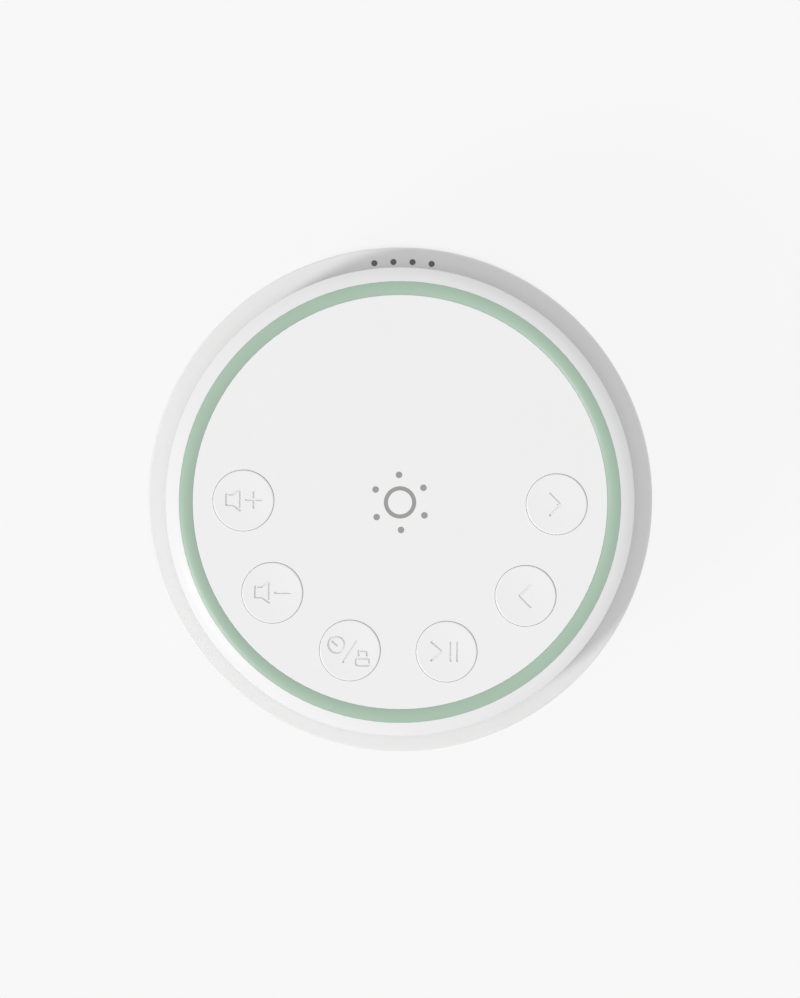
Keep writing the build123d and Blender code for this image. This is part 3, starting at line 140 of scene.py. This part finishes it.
# ---------------------------------------------------------------- the machine's finishes
def moulded(
    name, colour, roughness, grain=0.25 * MM, depth=0.004 * MM, mottle=0.006, edge=0.12 * MM
):
    """Moulded plastic: even colour, spark-eroded grain, rubbed gloss and broken edges."""
    finish, tree, shader = new_finish(name)
    patches = spread(tree, cloud(tree, 14 * MM, detail=3.0), 0, 1)
    colours = two_tone(tree, patches, shaded(colour, -mottle), shaded(colour, mottle))
    texture = relief(tree, cloud(tree, grain), depth, soft_edge(tree, edge))
    lay_on(tree, shader, colours, rubbed(tree, roughness, 0.035), texture)
    return finish


def paint_foot_shade(tree, shader, cap_foot, shade_end, strength):
    """Paints shade on the shoulder: a little darker towards the cap's foot, where the cap shades
    it.
    """
    foot_shade = spread(tree, off_axis(tree), strength, 0, start=cap_foot, end=shade_end)
    unshaded = shader.inputs["Base Color"].links[0].from_socket
    tree.links.new(two_tone(tree, foot_shade, unshaded, (0, 0, 0)), shader.inputs["Base Color"])


def milky_plastic():
    """White light-spreading plastic of the lamp shell: satin, and the light goes in a little."""
    white = (0.79, 0.79, 0.788)
    finish = moulded("milky_plastic", white, 0.42, grain=0.3 * MM, depth=0.003 * MM, mottle=0.004)
    tree = finish.node_tree
    shader = tree.nodes["Principled BSDF"]
    shader.inputs["Subsurface Weight"].default_value = 0.15
    shader.inputs["Subsurface Radius"].default_value = (1.0, 0.95, 0.9)
    shader.inputs["Subsurface Scale"].default_value = 1.2 * MM
    # Painted shade: the shoulder is made darker towards the cap's foot.
    paint_foot_shade(tree, shader, cap_foot=49.1 * MM, shade_end=50.8 * MM, strength=0.06)
    return finish


def printed_ink():
    """Warm grey ink: a little uneven where the screen left it, and half matt."""
    finish, tree, shader = new_finish("printed_ink")
    cover = spread(tree, cloud(tree, 0.35 * MM, detail=3.0), 0, 1)
    colours = two_tone(tree, cover, (0.305, 0.3, 0.295), (0.332, 0.328, 0.323))
    gloss = spread(tree, cloud(tree, 0.5 * MM), 0.5, 0.62)
    lay_on(tree, shader, colours, gloss, relief(tree, cloud(tree, 0.12 * MM), 0.004 * MM))
    return finish


def smoked_light_guide():
    """Smoke-grey clear plastic of the indicator pins."""
    finish, tree, shader = new_finish("smoked_light_guide")
    smoke = spread(tree, cloud(tree, 0.8 * MM), 0, 1)
    colours = two_tone(tree, smoke, (0.075, 0.075, 0.078), (0.1, 0.1, 0.104))
    gloss = spread(tree, cloud(tree, 1.5 * MM), 0.24, 0.34)
    lay_on(tree, shader, colours, gloss, relief(tree, cloud(tree, 0.2 * MM), 0.003 * MM))
    shader.inputs["Coat Weight"].default_value = 0.3
    return finish


def rubber(name, colour, grain=0.4 * MM):
    """Moulded rubber: matt, with a light bloom of dust in its pores."""
    finish, tree, shader = new_finish(name)
    bloom = spread(tree, cloud(tree, 3.5 * MM, detail=5.0), 0, 1, start=0.42, end=0.75)
    colours = two_tone(tree, bloom, colour, shaded(colour, 0.16))
    matt = spread(tree, cloud(tree, 1.2 * MM, detail=3.0), 0.68, 0.86)
    texture = relief(tree, cloud(tree, grain, detail=4.0), 0.02 * MM, soft_edge(tree, 0.15 * MM))
    lay_on(tree, shader, colours, matt, texture)
    shader.inputs["Specular IOR Level"].default_value = 0.35
    return finish


def woven(name, colour, thread, radius):
    """Plain weave that follows a round wall: threads run round it and up it in turns."""
    finish, tree, shader = new_finish(name)
    spot = tree.nodes.new("ShaderNodeSeparateXYZ")
    tree.links.new(place_on_piece(tree), spot.inputs["Vector"])
    angle = reckon(tree, "ARCTAN2", spot.outputs["Y"], spot.outputs["X"])
    around = reckon(tree, "MULTIPLY", angle, radius)
    turns = pi / thread
    warp = reckon(tree, "SINE", reckon(tree, "MULTIPLY", around, turns))
    weft = reckon(tree, "SINE", reckon(tree, "MULTIPLY", spot.outputs["Z"], turns))
    crossing = reckon(tree, "MULTIPLY", warp, weft)
    fuzz = reckon(tree, "MULTIPLY", cloud(tree, 0.08 * MM, detail=4.0), 0.6)
    threads = reckon(tree, "ADD", reckon(tree, "ABSOLUTE", crossing), fuzz)
    # Painted shade and highlight: darker in the gaps between threads and lighter on their crowns;
    # the fuzz adds the cloth's own random tone.
    fuzz_and_painted_shade = spread(tree, threads, 0, 1, start=0.2, end=1.2)
    colours = two_tone(tree, fuzz_and_painted_shade, shaded(colour, -0.55), shaded(colour, 0.7))
    matt = spread(tree, fuzz, 0.78, 0.95, start=0.1, end=0.5)
    lay_on(tree, shader, colours, matt, relief(tree, threads, 0.08 * MM))
    shader.inputs["Sheen Weight"].default_value = 0.25
    return finish


def metal(name, colour, roughness, brushed=(1, 1, 1)):
    """Plated or turned metal with fine tool lines, stains and dulled spots."""
    finish, tree, shader = new_finish(name)
    stains = spread(tree, cloud(tree, 1.8 * MM, detail=4.0), 0, 1)
    colours = two_tone(tree, stains, shaded(colour, -0.12), shaded(colour, 0.04))
    lines = cloud(tree, 0.5 * MM, detail=4.0, stretch=brushed)
    gloss = spread(tree, lines, roughness - 0.07, roughness + 0.12)
    texture = relief(tree, lines, 0.004 * MM, soft_edge(tree, 0.08 * MM))
    lay_on(tree, shader, colours, gloss, texture)
    shader.inputs["Metallic"].default_value = 1.0
    return finish


def laminate(name, mask, track):
    """Circuit board: solder mask over runs of raised copper tracks, with bare areas between."""
    track_field = 4 * MM
    copper_area = 8.8 * MM
    finish, tree, shader = new_finish(name)
    tracks = tree.nodes.new("ShaderNodeTexBrick")
    tracks.offset, tracks.squash, tracks.squash_frequency = 0.37, 1.7, 3
    tracks.inputs["Scale"].default_value = 1 / track_field
    tracks.inputs["Brick Width"].default_value = 1.3
    tracks.inputs["Row Height"].default_value = 0.2
    tracks.inputs["Mortar Size"].default_value = 0.04
    tracks.inputs["Mortar Smooth"].default_value = 0.2
    tree.links.new(place_on_piece(tree), tracks.inputs["Vector"])
    areas = tree.nodes.new("ShaderNodeTexVoronoi")
    areas.distance = "CHEBYCHEV"
    areas.inputs["Scale"].default_value = 1 / copper_area
    tree.links.new(place_on_piece(tree), areas.inputs["Vector"])
    routed = spread(tree, areas.outputs["Color"], 0, 1, start=0.4, end=0.42)
    copper = reckon(tree, "MULTIPLY", tracks.outputs["Fac"], routed)
    resin = spread(tree, cloud(tree, 5 * MM, detail=3.0), 0, 0.25)
    colours = two_tone(tree, reckon(tree, "MAXIMUM", copper, resin), mask, track)
    gloss = spread(tree, cloud(tree, 2 * MM), 0.28, 0.42)
    lay_on(tree, shader, colours, gloss, relief(tree, copper, 0.03 * MM))
    return finish


def led_resin():
    """Yellow phosphor resin in the lights: grainy and a little clear."""
    finish, tree, shader = new_finish("led_resin")
    grains = spread(tree, cloud(tree, 0.12 * MM, detail=3.0), 0, 1)
    colours = two_tone(tree, grains, (0.78, 0.62, 0.2), (0.9, 0.8, 0.42))
    gloss = spread(tree, grains, 0.3, 0.5, start=0, end=1)
    lay_on(tree, shader, colours, gloss, relief(tree, grains, 0.01 * MM))
    shader.inputs["Subsurface Weight"].default_value = 0.2
    shader.inputs["Subsurface Scale"].default_value = 0.3 * MM
    return finish


def open_foam(name, colour, cell, smoothest):
    """Foam with open cells; its skin between the pores is at its smoothest."""
    finish, tree, shader = new_finish(name)
    cells = tree.nodes.new("ShaderNodeTexVoronoi")
    cells.inputs["Scale"].default_value = 1 / cell
    tree.links.new(place_on_piece(tree), cells.inputs["Vector"])
    pores = spread(tree, cells.outputs["Distance"], 0, 1, start=0.1, end=0.7)
    colours = two_tone(tree, pores, shaded(colour, 0.3), shaded(colour, -0.5))
    matt = spread(tree, pores, smoothest, 0.95, start=0, end=1)
    skin = reckon(tree, "SUBTRACT", 1, pores)
    lay_on(tree, shader, colours, matt, relief(tree, skin, 0.12 * MM))
    return finish


def pressed_paper():
    """Pressed paper pulp of the speaker cone, with fibres and shallow rings."""
    finish, tree, shader = new_finish("pressed_paper")
    fibres = cloud(tree, 0.6 * MM, detail=6.0, stretch=(1, 5, 1))
    pulp = spread(tree, fibres, 0, 1)
    colours = two_tone(tree, pulp, (0.035, 0.035, 0.036), (0.085, 0.083, 0.08))
    rings = tree.nodes.new("ShaderNodeTexWave")
    rings.wave_type = "RINGS"
    rings.rings_direction = "Z"
    rings.inputs["Scale"].default_value = 200.0
    tree.links.new(place_on_piece(tree), rings.inputs["Vector"])
    height = reckon(tree, "ADD", reckon(tree, "MULTIPLY", rings.outputs["Fac"], 0.5), fibres)
    lay_on(tree, shader, colours, spread(tree, fibres, 0.7, 0.9), relief(tree, height, 0.05 * MM))
    return finish


def sintered_ferrite():
    """Ground grey ferrite with pits and chipped grains."""
    finish, tree, shader = new_finish("sintered_ferrite")
    pits = cloud(tree, 0.5 * MM, detail=6.0)
    colours = two_tone(tree, spread(tree, pits, 0, 1), (0.07, 0.07, 0.075), (0.17, 0.17, 0.18))
    texture = relief(tree, pits, 0.03 * MM, soft_edge(tree, 0.2 * MM))
    lay_on(tree, shader, colours, spread(tree, pits, 0.42, 0.7), texture)
    return finish


def film(name, colour, clear_coat):
    """Thin glossy film or wrap with a slight ripple."""
    finish, tree, shader = new_finish(name)
    ripple = cloud(tree, 6 * MM, detail=3.0)
    tint = spread(tree, ripple, 0, 1)
    colours = two_tone(tree, tint, shaded(colour, -0.12), shaded(colour, 0.08))
    gloss = spread(tree, cloud(tree, 1.5 * MM, detail=3.0), 0.22, 0.36)
    lay_on(tree, shader, colours, gloss, relief(tree, ripple, 0.15 * MM))
    shader.inputs["Coat Weight"].default_value = clear_coat
    return finish


def outer_plastics():
    """The white shells, the key panel with its keys and the green ring."""
    base_white = (0.82, 0.82, 0.815)
    cap_white = (0.815, 0.815, 0.815)
    panel_white = (0.853, 0.853, 0.853)
    sage_green = (0.381, 0.51, 0.409)
    fine = {"depth": 0.003 * MM, "edge": 0.05 * MM}
    return {
        "lamp_plastic": milky_plastic(),
        "base_plastic": moulded("base_plastic", base_white, 0.5, grain=0.35 * MM, depth=0.008 * MM),
        "cap_plastic": moulded("cap_plastic", cap_white, 0.46, grain=0.3 * MM),
        "panel_plastic": moulded(
            "panel_plastic", panel_white, 0.48, grain=0.3 * MM, mottle=0.003, **fine
        ),
        "key_plastic": moulded("key_plastic", panel_white, 0.44, mottle=0.003, **fine),
        "ring_plastic": moulded("ring_plastic", sage_green, 0.4, mottle=0.01, **fine),
    }


def inner_plastics():
    """The frame, the tray and the small black, red and natural mouldings inside."""
    black = (0.02, 0.02, 0.021)
    frame_white = (0.84, 0.84, 0.83)
    coarse = {"grain": 0.4 * MM, "depth": 0.01 * MM}
    small = {"grain": 0.2 * MM, "mottle": 0.1}
    nylon = {"grain": 0.3 * MM, "depth": 0.006 * MM}
    return {
        "frame_plastic": moulded("frame_plastic", frame_white, 0.55, **coarse),
        "tray_plastic": moulded("tray_plastic", (0.03, 0.03, 0.03), 0.5, mottle=0.08, **coarse),
        "tongue_plastic": moulded("tongue_plastic", black, 0.42),
        "chip_plastic": moulded(
            "chip_plastic", black, 0.55, grain=0.12 * MM, depth=0.01 * MM, mottle=0.1
        ),
        "switch_plastic": moulded(
            "switch_plastic", (0.015, 0.015, 0.015), 0.45, depth=0.006 * MM, **small
        ),
        "plunger_plastic": moulded("plunger_plastic", (0.035, 0.035, 0.036), 0.4, **small),
        "connector_nylon": moulded(
            "connector_nylon", (0.72, 0.68, 0.55), 0.45, mottle=0.04, **nylon
        ),
        "wire_vinyl": moulded("wire_vinyl", (0.27, 0.008, 0.006), 0.36, mottle=0.08, **nylon),
    }


def other_finishes():
    """Ink, rubber, cloth, metal, boards, foam, film and the speaker's own materials."""
    black = (0.012, 0.012, 0.012)
    green_mask, green_track = (0.008, 0.075, 0.025), (0.03, 0.2, 0.075)
    white_mask, white_track = (0.78, 0.78, 0.75), (0.86, 0.86, 0.84)
    coating = {"grain": 0.3 * MM, "depth": 0.012 * MM, "mottle": 0.15}
    return {
        "symbol_ink": printed_ink(),
        "indicator_plastic": smoked_light_guide(),
        "foot_rubber": rubber("foot_rubber", (0.36, 0.36, 0.355)),
        "cloth_fabric": woven(
            "speaker_cloth", (0.03, 0.03, 0.031), thread=0.42 * MM, radius=48 * MM
        ),
        "screw_steel": metal("zinc_plated_steel", (0.62, 0.62, 0.63), 0.34),
        "socket_steel": metal("nickel_plated_steel", (0.7, 0.7, 0.71), 0.26, brushed=(1, 6, 1)),
        "board_laminate": laminate("board_laminate", green_mask, green_track),
        "lamp_board_laminate": laminate("lamp_board_laminate", white_mask, white_track),
        "led_resin": led_resin(),
        "flex_film": film("amber_film", (0.45, 0.17, 0.02), clear_coat=0.5),
        "battery_foil": film("battery_foil", (0.4, 0.41, 0.43), clear_coat=0.2),
        "foam": open_foam("gasket_foam", black, cell=0.5 * MM, smoothest=0.8),
        "conductive_foam": open_foam(
            "conductive_foam", (0.17, 0.17, 0.175), cell=0.4 * MM, smoothest=0.5
        ),
        "basket_steel": moulded("black_coated_steel", black, 0.38, **coating),
        "magnet_ferrite": sintered_ferrite(),
        "yoke_steel": metal("yoke_steel", (0.58, 0.58, 0.59), 0.3),
        "cone_paper": pressed_paper(),
        "spider_cloth": woven("spider_cloth", (0.42, 0.26, 0.07), thread=0.3 * MM, radius=10 * MM),
        "surround_rubber": rubber("surround_rubber", black, grain=0.25 * MM),
    }


finishes = {**outer_plastics(), **inner_plastics(), **other_finishes()}
for node in nodes.values():
    for slot in node.material_slots:
        slot.material = finishes[slot.material.name]


# ---------------------------------------------------------------- table, light and camera
TABLE_WHITE = (0.939, 0.939, 0.939)


def sees_background(tree):
    """1 for what looks straight at the background, or sees it mirrored or through something."""
    path = tree.nodes.new("ShaderNodeLightPath")
    seen = reckon(tree, "MAXIMUM", path.outputs["Is Camera Ray"], path.outputs["Is Glossy Ray"])
    return reckon(tree, "MAXIMUM", seen, path.outputs["Is Transmission Ray"])


def pale_table(radius, foot_reach, foot_share, open_reach, open_share):
    """A wide pale table. An even white takes a share of it, the foot's share as far as the foot's
    reach and the open share past the open reach, and what is left keeps the machine's shadow."""
    bpy.ops.object.select_all(action="DESELECT")
    bpy.ops.mesh.primitive_circle_add(
        vertices=64, radius=radius, fill_type="NGON", location=(0, 0, 0)
    )
    table = bpy.context.object
    table.name = "table"
    finish, tree, shader = new_finish("table_white")
    shader.inputs["Base Color"].default_value = (0.92, 0.92, 0.92, 1)
    shader.inputs["Roughness"].default_value = 0.9
    shader.inputs["Specular IOR Level"].default_value = 0.0
    glow = tree.nodes.new("ShaderNodeEmission")
    glow.inputs["Color"].default_value = (*TABLE_WHITE, 1)
    mix = tree.nodes.new("ShaderNodeMixShader")
    even = spread(tree, off_axis(tree), foot_share, open_share, start=foot_reach, end=open_reach)
    tree.links.new(reckon(tree, "MULTIPLY", sees_background(tree), even), mix.inputs["Fac"])
    tree.links.new(shader.outputs["BSDF"], mix.inputs[1])
    tree.links.new(glow.outputs["Emission"], mix.inputs[2])
    tree.links.new(mix.outputs["Shader"], tree.nodes["Material Output"].inputs["Surface"])
    table.data.materials.append(finish)


def white_room(sky_level):
    """An even white room that lights the machine from all sides."""
    world = bpy.data.worlds.new("white_room")
    bpy.context.scene.world = world
    world.use_nodes = True
    tree = world.node_tree
    room = tree.nodes["Background"]
    room.inputs["Color"].default_value = (1, 1, 1, 1)
    room.inputs["Strength"].default_value = sky_level
    backdrop = tree.nodes.new("ShaderNodeBackground")
    backdrop.inputs["Color"].default_value = (*TABLE_WHITE, 1)
    mix = tree.nodes.new("ShaderNodeMixShader")
    tree.links.new(sees_background(tree), mix.inputs["Fac"])
    tree.links.new(room.outputs["Background"], mix.inputs[1])
    tree.links.new(backdrop.outputs["Background"], mix.inputs[2])
    tree.links.new(mix.outputs["Shader"], tree.nodes["World Output"].inputs["Surface"])


def key_light(level, azimuth, height, width):
    """One soft light; its azimuth, its height and the width of its disc are in degrees."""
    lamp = bpy.data.lights.new("key_light", "SUN")
    lamp.energy = level
    lamp.angle = radians(width)
    key = bpy.data.objects.new("key_light", lamp)
    bpy.context.scene.collection.objects.link(key)
    around, up = radians(azimuth), radians(height)
    towards = Vector((cos(around) * cos(up), sin(around) * cos(up), sin(up)))
    key.rotation_euler = towards.to_track_quat("Z", "Y").to_euler()


def camera_above(aim, distance, tilt, roll, picture_height):
    """A long lens looks down from a little behind the machine; tilt and roll are in degrees."""
    lens = bpy.data.cameras.new("camera")
    lens.sensor_width = 36.0
    lens.lens = lens.sensor_width * distance / picture_height
    lens.clip_start, lens.clip_end = 0.01, 20.0
    camera = bpy.data.objects.new("camera", lens)
    bpy.context.scene.collection.objects.link(camera)
    back = Vector((0, sin(radians(tilt)), cos(radians(tilt))))
    upright = Vector((0, cos(radians(tilt)), -sin(radians(tilt))))
    up = cos(radians(roll)) * upright - sin(radians(roll)) * Vector((1, 0, 0))
    turn = Matrix((up.cross(back), up, back)).transposed()
    camera.matrix_world = Matrix.Translation(Vector(aim) + distance * back) @ turn.to_4x4()
    bpy.context.scene.camera = camera


pale_table(
    radius=4.0, foot_reach=50.5 * MM, foot_share=0.2, open_reach=54.5 * MM, open_share=0.94
)
white_room(sky_level=0.7)
key_light(level=1.33, azimuth=212.5, height=45, width=10)
camera_above(
    aim=(-0.02 * MM, 0.44 * MM, 55.2 * MM),
    distance=1.0,
    tilt=2.34,
    roll=0.7,
    picture_height=208.4 * MM,
)
bpy.context.scene.view_settings.view_transform = "Standard"
